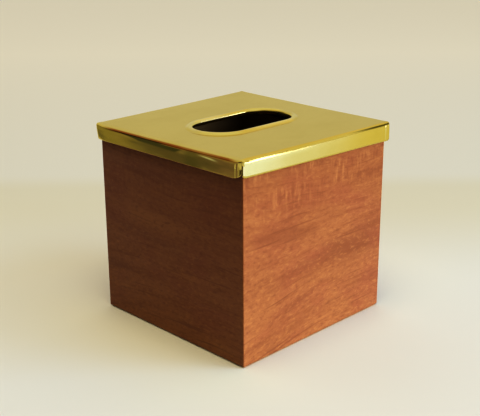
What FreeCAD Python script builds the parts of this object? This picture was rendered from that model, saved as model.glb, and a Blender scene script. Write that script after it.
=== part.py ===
"""Tissue box cover: a mitred wooden box with a lift-off sheet-brass lid.

Millimetres. The origin is on the table under the middle of the box, +Z is up, the
front wall faces -Y, and the tissue slot runs along X.
"""

import FreeCAD, Part
import math
import os
import Sketcher

doc = FreeCAD.newDocument("tissue_box_cover")

# Driving dimensions
SIZES = (
    # Wooden box
    ("body_width", 140.0, "outside width and depth of the square box"),
    ("wall_height", 137.2, "height of the four boards"),
    ("wall_thickness", 8.0, "thickness of the four boards"),
    ("wall_corner_radius", 1.0, "sanded radius of the upright outside corners"),
    ("wall_bottom_radius", 0.9, "sanded radius of the outside bottom edge"),
    # Splines glued across the mitres, stopped short of both ends
    ("spline_width", 7.0, "width across the mitre"),
    ("spline_thickness", 2.0, "thickness of the strip"),
    ("spline_setback", 2.6, "from the inside corner to the strip's middle, along each wall"),
    ("spline_stop", 12.0, "from each end of the walls to the strip's end"),
    # Base panel, let into a rabbet and pinned
    ("base_thickness", 4.0, "thickness of the base panel"),
    ("rabbet_depth", 4.0, "depth of the rabbet in the walls"),
    ("base_gap", 0.2, "clearance between the panel's edge and the rabbet"),
    ("pin_diameter", 1.2, "shank of a panel pin"),
    ("pin_length", 12.0, "length of a panel pin with its head"),
    ("pin_head_diameter", 2.2, "head of a panel pin"),
    ("pin_head_height", 0.8, "height of the head"),
    ("pin_set", 0.3, "how deep the head is set below the panel's underside"),
    ("pin_spacing", 60.0, "distance between the two pins of a wall"),
    ("pin_gap", 0.05, "clearance round a pin"),
    # Felt feet and felt bumpers
    ("foot_diameter", 14.0, "felt foot"),
    ("foot_thickness", 1.5, "thickness of a felt foot"),
    ("foot_proud", 0.6, "how far a foot stands below the box"),
    ("foot_inset", 16.0, "from the outside face to the foot's middle"),
    ("bumper_diameter", 6.0, "felt bumper between the wall tops and the lid"),
    ("bumper_thickness", 0.8, "thickness of a felt bumper"),
    # Brass lid, folded from one sheet
    ("sheet_thickness", 1.0, "brass sheet"),
    ("lid_overhang", 2.7, "from the wood to the outside of the folded edge"),
    ("flange_height", 12.4, "height of the folded edge, with the sheet"),
    ("lid_corner_radius", 3.0, "upright corners of the lid, outside"),
    ("lid_bend_radius", 2.0, "fold between the top and the edge, outside"),
    ("flange_corner_radius", 2.8, "rounded lower ends of the folded edge"),
    ("seam_gap", 0.3, "open seam at each corner"),
    # Tissue slot with its raised, rolled rim
    ("slot_length", 81.8, "length of the opening"),
    ("slot_width", 37.6, "width of the opening"),
    ("rim_height", 1.6, "crest of the rim above the top"),
    ("rim_bead_radius", 2.4, "outside radius of the rolled edge"),
    ("rim_fillet_radius", 1.9, "hollow where the rim runs out into the top"),
    ("rim_lip_drop", 0.4, "how far the rolled edge ends below the top"),
    # Wooden cleats under the lid that centre it in the box
    ("cleat_gap", 0.7, "clearance between a cleat and the wall"),
    ("cleat_thickness", 5.0, "thickness of a cleat"),
    ("cleat_height", 9.0, "height of a cleat"),
    ("cleat_lead_in", 1.2, "bevel that guides the lid on"),
)

sheet = doc.addObject("Spreadsheet::Sheet", "Sizes")
for row, (alias, value, meaning) in enumerate(SIZES, start=1):
    sheet.set(f"A{row}", alias)
    sheet.set(f"B{row}", str(value))
    sheet.set(f"C{row}", meaning)
    sheet.setAlias(f"B{row}", alias)
doc.recompute()

# Places that several pieces share, as expressions on the sheet
BODY_HALF = "Sizes.body_width / 2"
INSIDE_HALF = f"({BODY_HALF} - Sizes.wall_thickness)"
RABBET_HALF = f"({INSIDE_HALF} + Sizes.rabbet_depth)"
PIN_LINE = f"({INSIDE_HALF} + Sizes.rabbet_depth / 2)"
PIN_ALONG = "Sizes.pin_spacing / 2"
FOOT_PLACE = f"({BODY_HALF} - Sizes.foot_inset)"
WALL_MIDDLE = f"({BODY_HALF} - Sizes.wall_thickness / 2)"
WALL_TOP = "(Sizes.foot_proud + Sizes.wall_height)"
LID_SEAT = f"({WALL_TOP} + Sizes.bumper_thickness)"
LID_HALF = f"({BODY_HALF} + Sizes.lid_overhang)"
SLOT_RADIUS = "(Sizes.slot_width / 2)"
SLOT_STRAIGHT = "(Sizes.slot_length - Sizes.slot_width)"
CLEAT_HALF = f"({INSIDE_HALF} - Sizes.cleat_gap)"

SIDES = ("front", "right", "back", "left")
QUARTER_TURN = 90
NOTHING = 1e-9
LEVEL_TOLERANCE = 1e-6

# Sketcher's own numbers for the two axes, the origin and the points of an edge
HORIZONTAL_AXIS, VERTICAL_AXIS = range(-1, -3, -1)
ORIGIN = HORIZONTAL_AXIS
START, END, CENTRE = range(1, 4)


def number(expression):
    """Value of an expression on the sheet."""
    return float(sheet.evalExpression(expression))


def new_body(name):
    body = doc.addObject("PartDesign::Body", name)
    body.Label = name
    return body


def origin_feature(body, role):
    for feature in body.Origin.OriginFeatures:
        if feature.Role == role:
            return feature
    raise RuntimeError(f"{body.Label} has no {role}")


def new_sketch(body, name, role="XY_Plane", height=None):
    """Sketch on one of the body's own planes, lifted along its normal by an expression."""
    sketch = body.newObject("Sketcher::SketchObject", name)
    sketch.AttachmentSupport = [(origin_feature(body, role), "")]
    sketch.MapMode = "FlatFace"
    if height:
        sketch.setExpression("AttachmentOffset.Base.z", height)
    return sketch


def bind_last(sketch, expression):
    """Bind the constraint that was added last."""
    sketch.setExpression(f"Constraints[{sketch.ConstraintCount - 1}]", expression)


def place_point(sketch, piece, end, across, along):
    """Put one point of a piece where two expressions say."""
    for kind, axis, expression in (
        ("DistanceX", VERTICAL_AXIS, across),
        ("DistanceY", HORIZONTAL_AXIS, along),
    ):
        value = number(expression)
        if abs(value) < NOTHING:
            sketch.addConstraint(Sketcher.Constraint("PointOnObject", piece, end, axis))
        elif value > 0:
            sketch.addConstraint(Sketcher.Constraint(kind, ORIGIN, START, piece, end, value))
            bind_last(sketch, expression)
        else:
            sketch.addConstraint(Sketcher.Constraint(kind, piece, end, ORIGIN, START, -value))
            bind_last(sketch, f"-({expression})")


def draw_outline(sketch, corners):
    """Closed outline through corners of (across, along, bend).

    bend is None for a straight edge to the next corner, or ("left" or "right", radius)
    for an arc that turns that way.
    """
    places = [FreeCAD.Vector(number(across), number(along), 0) for across, along, bend in corners]
    edges = []
    for index, (across, along, bend) in enumerate(corners):
        start = places[index]
        end = places[(index + 1) % len(corners)]
        if bend is None:
            edges.append((sketch.addGeometry(Part.LineSegment(start, end)), START, END))
            continue
        turn, radius = bend
        middle = (start + end) / 2
        half_chord = (end - start) / 2
        towards = FreeCAD.Vector(-half_chord.y, half_chord.x, 0)
        if turn == "right":
            towards = -towards
        towards.normalize()
        sagitta_side = math.sqrt(max(number(radius) ** 2 - half_chord.Length**2, 0))
        centre = middle + towards * sagitta_side
        angles = [math.atan2((point - centre).y, (point - centre).x) for point in (start, end)]
        ends = (START, END)
        if turn == "right":
            angles.reverse()
            ends = (END, START)
        circle = Part.Circle(centre, FreeCAD.Vector(0, 0, 1), number(radius))
        piece = sketch.addGeometry(Part.ArcOfCircle(circle, angles[0], angles[1]))
        sketch.addConstraint(Sketcher.Constraint("Radius", piece, number(radius)))
        bind_last(sketch, radius)
        edges.append((piece, *ends))
    for index, (piece, first, last) in enumerate(edges):
        next_piece, next_first, _ = edges[(index + 1) % len(edges)]
        sketch.addConstraint(Sketcher.Constraint("Coincident", piece, last, next_piece, next_first))
        place_point(sketch, piece, first, corners[index][0], corners[index][1])


def draw_circle(sketch, across, along, radius):
    centre = FreeCAD.Vector(number(across), number(along), 0)
    circle = Part.Circle(centre, FreeCAD.Vector(0, 0, 1), number(radius))
    piece = sketch.addGeometry(circle)
    sketch.addConstraint(Sketcher.Constraint("Radius", piece, number(radius)))
    bind_last(sketch, radius)
    place_point(sketch, piece, CENTRE, across, along)


def rounded_square(half, radius):
    """Corners of a square outline, anticlockwise, with rounded corners."""
    flat = f"({half} - {radius})"
    bend = ("left", radius)
    return (
        (f"-{flat}", f"-{half}", None),
        (flat, f"-{half}", bend),
        (half, f"-{flat}", None),
        (half, flat, bend),
        (flat, half, None),
        (f"-{flat}", half, bend),
        (f"-{half}", flat, None),
        (f"-{half}", f"-{flat}", bend),
    )


def square(half):
    """Corners of a plain square outline."""
    return (
        (f"-{half}", f"-{half}", None),
        (half, f"-{half}", None),
        (half, half, None),
        (f"-{half}", half, None),
    )


def mitred_strip(outer, inner):
    """Plan of a strip along -Y whose ends are mitred."""
    return (
        (f"-{outer}", f"-{outer}", None),
        (outer, f"-{outer}", None),
        (inner, f"-{inner}", None),
        (f"-{inner}", f"-{inner}", None),
    )


def extrude(body, kind, sketch, name, length, upwards=True):
    """Pad, or Pocket that cuts upwards unless told otherwise."""
    feature = body.newObject(f"PartDesign::{kind}", name)
    feature.Profile = sketch
    feature.setExpression("Length", length)
    feature.Reversed = (kind == "Pocket") == upwards
    doc.recompute()
    return feature


def dress_edges(body, kind, name, size, chosen):
    """Fillet or chamfer the edges that the test picks."""
    base = body.Tip
    names = [f"Edge{i}" for i, edge in enumerate(base.Shape.Edges, start=1) if chosen(edge)]
    if not names:
        raise RuntimeError(f"{name} found no edge")
    feature = body.newObject(f"PartDesign::{kind}", name)
    feature.Base = (base, names)
    feature.setExpression("Radius" if kind == "Fillet" else "Size", size)
    doc.recompute()
    return feature


def repeat_round(body, name, originals, copies):
    """Repeat features about the upright axis."""
    pattern = body.newObject("PartDesign::PolarPattern", name)
    pattern.Originals = originals
    pattern.Axis = (origin_feature(body, "Z_Axis"), [""])
    pattern.Angle = 360
    pattern.Occurrences = copies
    body.Tip = pattern
    doc.recompute()
    return pattern


def stand(body, height, side=0):
    """Lift a body to its height and turn it to its side of the box."""
    body.Placement = FreeCAD.Placement(
        FreeCAD.Vector(0, 0, 0),
        FreeCAD.Rotation(FreeCAD.Vector(0, 0, 1), QUARTER_TURN * side),
    )
    body.setExpression("Placement.Base.z", height)


def flat_at(edge, height):
    """Whether both ends and the middle of an edge lie at a height."""
    middle = edge.valueAt((edge.FirstParameter + edge.LastParameter) / 2)
    points = [vertex.Point for vertex in edge.Vertexes] + [middle]
    return all(abs(point.z - height) < LEVEL_TOLERANCE for point in points)


def spline_corners(side):
    """Section of the spline at the wall's left (-1) or right (+1) end, anticlockwise."""
    reach = "Sizes.spline_width / 2 / sqrt(2)"
    thick = "Sizes.spline_thickness / 2 / sqrt(2)"
    middle = f"({INSIDE_HALF} + Sizes.spline_setback)"
    steps = ((-1, -1), (1, -1), (1, 1), (-1, 1))
    corners = []
    for along_width, along_thickness in steps:
        inward = f"{along_width} * {reach}"
        outward = f"{along_thickness} * {thick}"
        across = f"{side} * ({middle} + {inward} + {outward})"
        along = f"-({middle} - {inward} + {outward})"
        corners.append((across, along, None))
    return corners if side > 0 else corners[::-1]


def make_wall(side):
    """Board with mitred ends, a rabbet for the base, and slots for two splines."""
    body = new_body(f"{SIDES[side]}_wall")

    plan = new_sketch(body, "wall_plan")
    radius = "Sizes.wall_corner_radius"
    flat = f"({BODY_HALF} - {radius})"
    turned = f"({BODY_HALF} - {radius} + {radius} / sqrt(2))"
    bend = ("left", radius)
    draw_outline(plan, (
        (f"-{turned}", f"-{turned}", bend),
        (f"-{flat}", f"-{BODY_HALF}", None),
        (flat, f"-{BODY_HALF}", bend),
        (turned, f"-{turned}", None),
        (INSIDE_HALF, f"-{INSIDE_HALF}", None),
        (f"-{INSIDE_HALF}", f"-{INSIDE_HALF}", None),
    ))
    extrude(body, "Pad", plan, "board", "Sizes.wall_height")
    dress_edges(
        body, "Fillet", "bottom_edge", "Sizes.wall_bottom_radius",
        lambda edge: flat_at(edge, 0) and edge.CenterOfMass.y < -number(flat),
    )

    rabbet_plan = new_sketch(body, "rabbet_plan")
    draw_outline(rabbet_plan, (
        (f"-{RABBET_HALF}", f"-{RABBET_HALF}", None),
        (RABBET_HALF, f"-{RABBET_HALF}", None),
        (RABBET_HALF, "0", None),
        (f"-{RABBET_HALF}", "0", None),
    ))
    extrude(body, "Pocket", rabbet_plan, "rabbet", "Sizes.base_thickness")

    slot_plan = new_sketch(body, "spline_slot_plan", height="Sizes.spline_stop")
    for end in (-1, 1):
        draw_outline(slot_plan, spline_corners(end))
    extrude(body, "Pocket", slot_plan, "spline_slots", "Sizes.wall_height - 2 * Sizes.spline_stop")

    pin_plan = new_sketch(body, "pin_hole_plan", height="Sizes.base_thickness")
    for end in ("-", ""):
        draw_circle(
            pin_plan, f"{end}{PIN_ALONG}", f"-{PIN_LINE}", "Sizes.pin_diameter / 2 + Sizes.pin_gap"
        )
    extrude(
        body, "Pocket", pin_plan, "pin_holes",
        "Sizes.pin_set + Sizes.pin_length + Sizes.pin_gap - Sizes.base_thickness",
    )
    stand(body, "Sizes.foot_proud", side)
    return body


def make_spline(side):
    """Thin strip glued across the mitre at a wall's right-hand end."""
    neighbour = SIDES[(side + 1) % len(SIDES)]
    body = new_body(f"spline_{SIDES[side]}_{neighbour}")
    section = new_sketch(body, "spline_section", height="Sizes.spline_stop")
    draw_outline(section, spline_corners(1))
    extrude(body, "Pad", section, "strip", "Sizes.wall_height - 2 * Sizes.spline_stop")
    stand(body, "Sizes.foot_proud", side)
    return body


def make_base_panel():
    """Panel let into the walls from below, with recesses for feet and pins."""
    body = new_body("base_panel")
    plan = new_sketch(body, "panel_plan")
    draw_outline(plan, square(f"({RABBET_HALF} - Sizes.base_gap)"))
    extrude(body, "Pad", plan, "panel", "Sizes.base_thickness")

    feet_plan = new_sketch(body, "foot_recess_plan")
    for across in ("-", ""):
        for along in ("-", ""):
            draw_circle(feet_plan, f"{across}{FOOT_PLACE}", f"{along}{FOOT_PLACE}", "Sizes.foot_diameter / 2")
    extrude(body, "Pocket", feet_plan, "foot_recesses", "Sizes.foot_thickness - Sizes.foot_proud")

    pins = []
    for name, radius, depth in (
        ("pin_holes", "Sizes.pin_diameter / 2 + Sizes.pin_gap", "Sizes.base_thickness"),
        ("pin_heads", "Sizes.pin_head_diameter / 2 + Sizes.pin_gap", "Sizes.pin_set + Sizes.pin_head_height"),
    ):
        pin_plan = new_sketch(body, f"{name}_plan")
        for end in ("-", ""):
            draw_circle(pin_plan, f"{end}{PIN_ALONG}", f"-{PIN_LINE}", radius)
        pins.append(extrude(body, "Pocket", pin_plan, name, depth))
    repeat_round(body, "pins_of_four_walls", pins, len(SIDES))
    stand(body, "Sizes.foot_proud")
    return body


def make_base_pins():
    """Eight panel pins, two to a wall, as one group."""
    head = doc.addObject("Part::Cylinder", "pin_head")
    head.setExpression("Radius", "Sizes.pin_head_diameter / 2")
    head.setExpression("Height", "Sizes.pin_head_height")
    shank = doc.addObject("Part::Cylinder", "pin_shank")
    shank.setExpression("Radius", "Sizes.pin_diameter / 2")
    shank.setExpression("Height", "Sizes.pin_length")
    pin = doc.addObject("Part::Fuse", "pin")
    pin.Base = head
    pin.Tool = shank
    copies = []
    for side in range(len(SIDES)):
        angle = math.radians(QUARTER_TURN * side)
        for end in (-1, 1):
            copy = doc.addObject("App::Link", f"pin_{SIDES[side]}_{len(copies) + 1}")
            copy.LinkedObject = pin
            cosine = round(math.cos(angle))
            sine = round(math.sin(angle))
            copy.setExpression("Placement.Base.x", f"{end * cosine} * {PIN_ALONG} + {sine} * {PIN_LINE}")
            copy.setExpression("Placement.Base.y", f"{end * sine} * {PIN_ALONG} - {cosine} * {PIN_LINE}")
            copy.setExpression("Placement.Base.z", "Sizes.foot_proud + Sizes.pin_set")
            copies.append(copy)
    group = doc.addObject("Part::Compound", "base_pins")
    group.Label = "base_pins"
    group.Links = copies
    return group


def make_felt(name, radius, thickness, across, along, height):
    """Round felt pad."""
    pad = doc.addObject("Part::Cylinder", name)
    pad.Label = name
    pad.setExpression("Radius", radius)
    pad.setExpression("Height", thickness)
    pad.setExpression("Placement.Base.x", across)
    pad.setExpression("Placement.Base.y", along)
    pad.setExpression("Placement.Base.z", height)
    return pad


def make_felts():
    """Four feet under the base and four bumpers on the corners of the walls."""
    felts = []
    for depth_name, along in (("front", "-"), ("back", "")):
        for width_name, across in (("left", "-"), ("right", "")):
            felts.append(make_felt(
                f"foot_{depth_name}_{width_name}", "Sizes.foot_diameter / 2", "Sizes.foot_thickness",
                f"{across}{FOOT_PLACE}", f"{along}{FOOT_PLACE}", "0",
            ))
            felts.append(make_felt(
                f"bumper_{depth_name}_{width_name}", "Sizes.bumper_diameter / 2", "Sizes.bumper_thickness",
                f"{across}{WALL_MIDDLE}", f"{along}{WALL_MIDDLE}", WALL_TOP,
            ))
    return felts


def rim_points():
    """Places of the rim's section: its bead's middle, where the bead meets the hollow, its toe.

    Outwards is measured from the edge of the slot and up from the underside of the sheet.
    """
    bead = "Sizes.rim_bead_radius"
    hollow = "Sizes.rim_fillet_radius"
    crest = "Sizes.rim_height"
    middle_out = f"sqrt({bead}^2 - ({bead} - {crest} - Sizes.rim_lip_drop)^2)"
    middle_up = f"(Sizes.sheet_thickness + {crest} - {bead})"
    reach = f"sqrt(({bead} + {hollow})^2 - ({bead} + {hollow} - {crest})^2)"
    share = f"{bead} / ({bead} + {hollow})"
    join_out = f"({middle_out} + {reach} * {share})"
    join_up = f"({middle_up} + ({bead} + {hollow} - {crest}) * {share})"
    toe_out = f"({middle_out} + {reach})"
    return middle_out, middle_up, join_out, join_up, toe_out


def rim_corners(side, start):
    """Section of the rim, from its distance to the axis, on one side of it."""
    _, _, join_out, join_up, toe_out = rim_points()
    lip_up = "(Sizes.sheet_thickness - Sizes.rim_lip_drop)"
    sign = "" if side > 0 else "-"
    over_bead = "right" if side > 0 else "left"
    into_hollow = "left" if side > 0 else "right"
    return (
        (f"{sign}{start}", "0", None),
        (f"{sign}{start}", lip_up, (over_bead, "Sizes.rim_bead_radius")),
        (f"{sign}({start} + {join_out})", join_up, (into_hollow, "Sizes.rim_fillet_radius")),
        (f"{sign}({start} + {toe_out})", "Sizes.sheet_thickness", None),
        (f"{sign}({start} + {toe_out})", "0", None),
    )


def add_rim_feature(body, kind, name, draw):
    """Straight runs and two round ends of the rim, added or cut away."""
    run_section = new_sketch(body, f"{name}_run_section", "YZ_Plane")
    for side in (-1, 1):
        draw(run_section, side)
    run = body.newObject("PartDesign::Pad" if kind == "add" else "PartDesign::Pocket", f"{name}_runs")
    run.Profile = run_section
    run.Midplane = True
    run.setExpression("Length", SLOT_STRAIGHT)
    doc.recompute()

    end_section = new_sketch(body, f"{name}_end_section", "XZ_Plane")
    end_section.setExpression("AttachmentOffset.Base.x", f"{SLOT_STRAIGHT} / 2")
    draw(end_section, 1)
    turn = "PartDesign::Revolution" if kind == "add" else "PartDesign::Groove"
    end = body.newObject(turn, f"{name}_end")
    end.Profile = end_section
    end.ReferenceAxis = (end_section, ["V_Axis"])
    end.Angle = 180
    end.Midplane = True
    doc.recompute()
    return repeat_round(body, f"{name}_both_ends", [end], 2)


def make_lid_sheet():
    """Brass sheet with four folded edges, open corner seams and the rimmed slot.

    Built with its underside at zero.
    """
    body = new_body("lid_sheet")
    drop = "(Sizes.flange_height - Sizes.sheet_thickness)"
    outline = new_sketch(body, "lid_outline", height=f"-{drop}")
    draw_outline(outline, rounded_square(LID_HALF, "Sizes.lid_corner_radius"))
    extrude(body, "Pad", outline, "lid_block", "Sizes.flange_height")
    top = number("Sizes.sheet_thickness")
    dress_edges(body, "Fillet", "outer_bend", "Sizes.lid_bend_radius", lambda edge: flat_at(edge, top))

    hollow = new_sketch(body, "lid_hollow_outline", height=f"-{drop}")
    draw_outline(hollow, rounded_square(
        f"({LID_HALF} - Sizes.sheet_thickness)", "(Sizes.lid_corner_radius - Sizes.sheet_thickness)"
    ))
    extrude(body, "Pocket", hollow, "lid_hollow", drop)
    dress_edges(
        body, "Fillet", "inner_bend", "Sizes.lid_bend_radius - Sizes.sheet_thickness",
        lambda edge: flat_at(edge, 0),
    )

    make_corner_seams(body, drop)

    straight = f"{SLOT_STRAIGHT} / 2"
    round_end = ("left", SLOT_RADIUS)
    slot_plan = new_sketch(body, "slot_plan")
    draw_outline(slot_plan, (
        (f"-{straight}", f"-{SLOT_RADIUS}", None),
        (straight, f"-{SLOT_RADIUS}", round_end),
        (f"({straight} + {SLOT_RADIUS})", "0", round_end),
        (straight, SLOT_RADIUS, None),
        (f"-{straight}", SLOT_RADIUS, round_end),
        (f"-({straight} + {SLOT_RADIUS})", "0", round_end),
    ))
    extrude(body, "Pocket", slot_plan, "tissue_slot", "Sizes.sheet_thickness")

    add_rim_feature(
        body, "add", "rim",
        lambda sketch, side: draw_outline(sketch, rim_corners(side, SLOT_RADIUS)),
    )
    middle_out, middle_up, _, _, _ = rim_points()
    add_rim_feature(
        body, "cut", "rim_hollow",
        lambda sketch, side: draw_circle(
            sketch, f"{side} * ({SLOT_RADIUS} + {middle_out})", middle_up,
            "Sizes.rim_bead_radius - Sizes.sheet_thickness",
        ),
    )
    stand(body, LID_SEAT)
    return body


def make_corner_seams(body, drop):
    """Hairline seam up each corner, opening into a notch between two rounded ends."""
    # A quarter circle seen at 45 degrees is a quarter ellipse, and this share of its
    # height is the radius of the arc nearest to it.
    slanted_arc_share = 0.893
    rise = "Sizes.flange_corner_radius"
    gap = "Sizes.seam_gap / 2"
    half_width = f"({gap} + {rise} / sqrt(2))"
    bottom = f"-{drop}"
    below = f"-({drop} + {rise})"
    notch_top = f"({rise} - {drop})"
    seam_top = "(Sizes.sheet_thickness - Sizes.lid_bend_radius)"
    rounding = f"({rise} * {slanted_arc_share})"
    seam = new_sketch(body, "seam_outline", "XZ_Plane")
    seam.AttachmentOffset = FreeCAD.Placement(
        FreeCAD.Vector(0, 0, 0), FreeCAD.Rotation(FreeCAD.Vector(0, 1, 0), QUARTER_TURN / 2)
    )
    draw_outline(seam, (
        (f"-{half_width}", below, None),
        (half_width, below, None),
        (half_width, bottom, ("left", rounding)),
        (gap, notch_top, None),
        (gap, seam_top, None),
        (f"-{gap}", seam_top, None),
        (f"-{gap}", notch_top, ("left", rounding)),
        (f"-{half_width}", bottom, None),
    ))
    cut = body.newObject("PartDesign::Pocket", "corner_seam")
    cut.Profile = seam
    cut.Type = "ThroughAll"
    doc.recompute()
    repeat_round(body, "corner_seams", [cut], len(SIDES))


def make_cleat(side):
    """Mitred strip glued under the lid, just inside a wall, bevelled to guide the lid on."""
    body = new_body(f"{SIDES[side]}_cleat")
    plan = new_sketch(body, "cleat_plan", height="-Sizes.cleat_height")
    draw_outline(plan, mitred_strip(CLEAT_HALF, f"({CLEAT_HALF} - Sizes.cleat_thickness)"))
    extrude(body, "Pad", plan, "strip", "Sizes.cleat_height")
    bottom = -number("Sizes.cleat_height")
    outside = -number(f"{CLEAT_HALF} - Sizes.cleat_thickness / 4")
    dress_edges(
        body, "Chamfer", "lead_in", "Sizes.cleat_lead_in",
        lambda edge: flat_at(edge, bottom) and edge.CenterOfMass.y < outside,
    )
    stand(body, LID_SEAT, side)
    return body


def check_features():
    """Stop if any object failed, or if a cut took nothing away."""
    doc.recompute()
    for thing in doc.Objects:
        if any(word in thing.State for word in ("Invalid", "Error")):
            raise RuntimeError(f"{thing.Label} failed: {thing.State}")
        if thing.TypeId in ("PartDesign::Pocket", "PartDesign::Groove"):
            before = thing.BaseFeature.Shape.Volume
            if not thing.Shape.Volume < before:
                raise RuntimeError(f"{thing.Label} cuts nothing")
        if thing.TypeId == "Sketcher::SketchObject" and thing.solve() != 0:
            raise RuntimeError(f"{thing.Label} does not solve")


def write_pieces(pieces):
    os.makedirs("parts", exist_ok=True)
    for piece in pieces:
        shape = piece.Shape
        if shape.isNull() or not shape.isValid() or not shape.Solids:
            raise RuntimeError(f"{piece.Label} is not a valid solid")
        box = shape.BoundBox
        print(
            f"{piece.Label}: {len(shape.Solids)} solid(s), {shape.Volume:.1f} mm3,"
            f" x {box.XMin:.2f} to {box.XMax:.2f}, y {box.YMin:.2f} to {box.YMax:.2f},"
            f" z {box.ZMin:.2f} to {box.ZMax:.2f}"
        )
    for piece in pieces:
        piece.Shape.exportStep(f"parts/{piece.Label}.step")


pieces = []
for side in range(len(SIDES)):
    pieces.append(make_wall(side))
    pieces.append(make_spline(side))
pieces.append(make_base_panel())
pieces.append(make_base_pins())
pieces.extend(make_felts())
pieces.append(make_lid_sheet())
for side in range(len(SIDES)):
    pieces.append(make_cleat(side))
check_features()
write_pieces(pieces)
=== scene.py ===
"""Looks of the tissue box cover: a square wooden box with a lift-off folded brass lid."""

import math
from collections import namedtuple

import bpy
import numpy as np
from mathutils import Matrix, Vector, noise


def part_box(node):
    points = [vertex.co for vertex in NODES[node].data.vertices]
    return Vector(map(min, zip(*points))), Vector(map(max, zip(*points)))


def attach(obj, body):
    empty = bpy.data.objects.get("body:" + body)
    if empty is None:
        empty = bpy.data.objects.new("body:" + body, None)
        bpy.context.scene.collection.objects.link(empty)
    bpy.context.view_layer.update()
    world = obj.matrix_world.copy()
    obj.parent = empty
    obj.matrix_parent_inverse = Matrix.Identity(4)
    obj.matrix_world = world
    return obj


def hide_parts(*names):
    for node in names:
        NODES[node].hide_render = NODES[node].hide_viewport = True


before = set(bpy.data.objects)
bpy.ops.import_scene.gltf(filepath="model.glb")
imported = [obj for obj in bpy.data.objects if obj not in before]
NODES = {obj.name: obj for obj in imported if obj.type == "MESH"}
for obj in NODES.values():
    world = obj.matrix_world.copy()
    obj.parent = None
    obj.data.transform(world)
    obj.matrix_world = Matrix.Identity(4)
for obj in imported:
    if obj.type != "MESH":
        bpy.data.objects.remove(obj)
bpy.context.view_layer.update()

MM = 0.001
CORNERS = ("front_left", "front_right", "back_left", "back_right")

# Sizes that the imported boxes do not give
SHEET = 1.0 * MM
RIM_HEIGHT = 1.6 * MM
BEAD_RADIUS = 2.4 * MM
FILLET_RADIUS = 1.9 * MM
SLOT_HALF_STRAIGHT = 21.4 * MM
SLOT_RADIUS = 18.8 * MM
CORNER_RADIUS = 3.0 * MM
HALF_ARC = CORNER_RADIUS * math.pi / 4
SEAM_GAP = 0.3 * MM
SEAM_TOP = 1.5 * MM

LID_LOW, LID_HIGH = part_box("lid_sheet")
LID_HALF = LID_HIGH.x
LID_TOP = LID_HIGH.z - RIM_HEIGHT
WOOD_LOW, WOOD_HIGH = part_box("front_wall")
WOOD_HALF = -WOOD_LOW.y
WOOD_INSIDE = -WOOD_HIGH.y


def add_node(tree, kind, sockets=None, **settings):
    """Adds one shader node; a socket's value is a number, a colour or another node's output."""
    made = tree.nodes.new("ShaderNode" + kind)
    for name, value in settings.items():
        setattr(made, name, value)
    for name, value in (sockets or {}).items():
        if isinstance(value, bpy.types.NodeSocket):
            tree.links.new(value, made.inputs[name])
        else:
            made.inputs[name].default_value = value
    return made


def joined(kind, sockets, **settings):
    """Adds one shader node to the tree that its linked inputs are in."""
    tree = next(value.id_data for value in sockets.values() if isinstance(value, bpy.types.NodeSocket))
    return add_node(tree, kind, sockets, **settings)


def maths(operation, first, second=0.0, third=0.0):
    """Adds one maths node and gives its output."""
    return joined("Math", {0: first, 1: second, 2: third}, operation=operation).outputs[0]


def product(first, *others):
    """Multiplies values one after another."""
    for other in others:
        first = maths("MULTIPLY", first, other)
    return first


def distance_from(value, middle):
    """How far a value is from a middle one, to either side."""
    return maths("ABSOLUTE", maths("SUBTRACT", value, middle))


def spread(value, low, high, to_low=0.0, to_high=1.0, smooth=True):
    """Maps the range low to high on to to_low to to_high."""
    sockets = {"Value": value, "From Min": low, "From Max": high, "To Min": to_low, "To Max": to_high}
    kind = "SMOOTHSTEP" if smooth else "LINEAR"
    return joined("MapRange", sockets, interpolation_type=kind).outputs[0]


def opaque(colour):
    """A colour with its alpha; another node's output stays as it is."""
    return colour if isinstance(colour, bpy.types.NodeSocket) else (*colour, 1.0)


def mixed(share, first, second):
    """Mixes two colours."""
    sockets = {0: share, 6: opaque(first), 7: opaque(second)}
    return joined("Mix", sockets, data_type="RGBA").outputs[2]


def tinted(colour, tone):
    """A colour scaled channel by channel."""
    return [part * scale for part, scale in zip(colour, tone)]


def split(vector):
    """The X, Y and Z of a vector."""
    return joined("SeparateXYZ", {0: vector}).outputs


def surface_place(tree):
    """Place on the object."""
    return add_node(tree, "TexCoord").outputs["Object"]


def grain_noise(place, scales, detail, roughness=0.55, offset=(0.0, 0.0, 0.0), warp=0.0):
    """A noise stretched by its scales, in features per metre."""
    moved = joined("Mapping", {"Vector": place, "Location": offset, "Scale": scales})
    sockets = {"Vector": moved.outputs[0], "Scale": 1.0, "Detail": detail, "Roughness": roughness}
    return joined("TexNoise", {**sockets, "Distortion": warp}).outputs[0]


def new_material(name):
    """An empty node material with its Principled shader."""
    made = bpy.data.materials.new(name)
    made.use_nodes = True
    shader = made.node_tree.nodes["Principled BSDF"]
    return made, made.node_tree, shader


def colour_and_gloss(shader, colour, roughness):
    """Links a surface's varying colour and roughness."""
    shader.id_data.links.new(colour, shader.inputs["Base Color"])
    shader.id_data.links.new(roughness, shader.inputs["Roughness"])


def add_relief(shader, height, strength, depth):
    """Gives a surface fine relief."""
    bump = joined("Bump", {"Height": height, "Strength": strength, "Distance": depth})
    shader.id_data.links.new(bump.outputs[0], shader.inputs["Normal"])


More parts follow.
